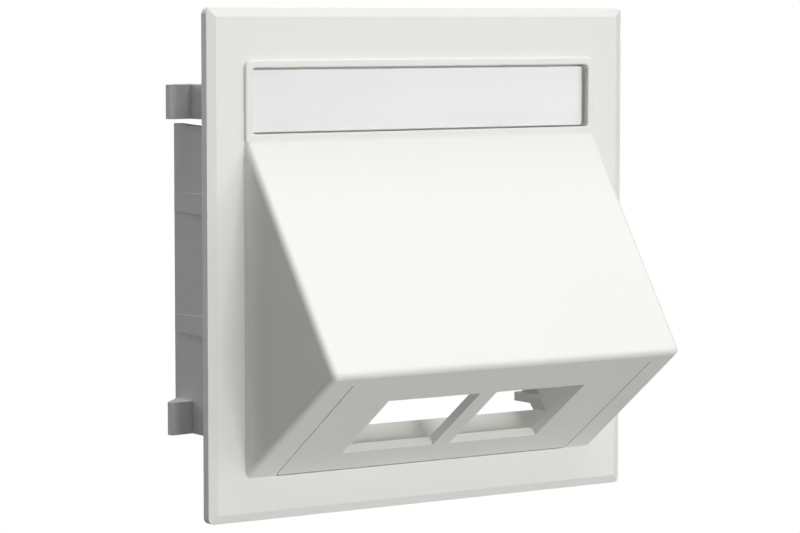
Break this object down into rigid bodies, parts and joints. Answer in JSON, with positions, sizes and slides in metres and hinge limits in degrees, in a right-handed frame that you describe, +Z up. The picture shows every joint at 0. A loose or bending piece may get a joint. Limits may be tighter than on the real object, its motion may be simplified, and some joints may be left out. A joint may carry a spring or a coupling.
{
  "type": "ethernet wall socket",
  "caption": "Square wall plate with a sloping hood, open rectangular data ports in its angled underside, a clear label window above, and a snap-in rear frame with spring hooks.",
  "frame": {"origin": "centre of the square plate, in the plane where its rim meets the wall", "axes": "+X to the right seen from the front, +Y into the wall, +Z up; the hood projects towards -Y"},
  "size_m": [0.08, 0.044, 0.08],
  "materials": {
    "cover_plastic": "fine satin moulded, warm white",
    "insert_plastic": "fine satin moulded, warm white",
    "clear_plastic": "clear, polished",
    "label_paper": "matt, unprinted",
    "frame_plastic": "matt moulded, light grey"
  },
  "bodies": {
    "root": {"cover_plate": "cover_plastic", "port_insert": "insert_plastic", "label_window": "clear_plastic", "label_card": "label_paper", "support_frame": "frame_plastic"}
  },
  "joints": []
}
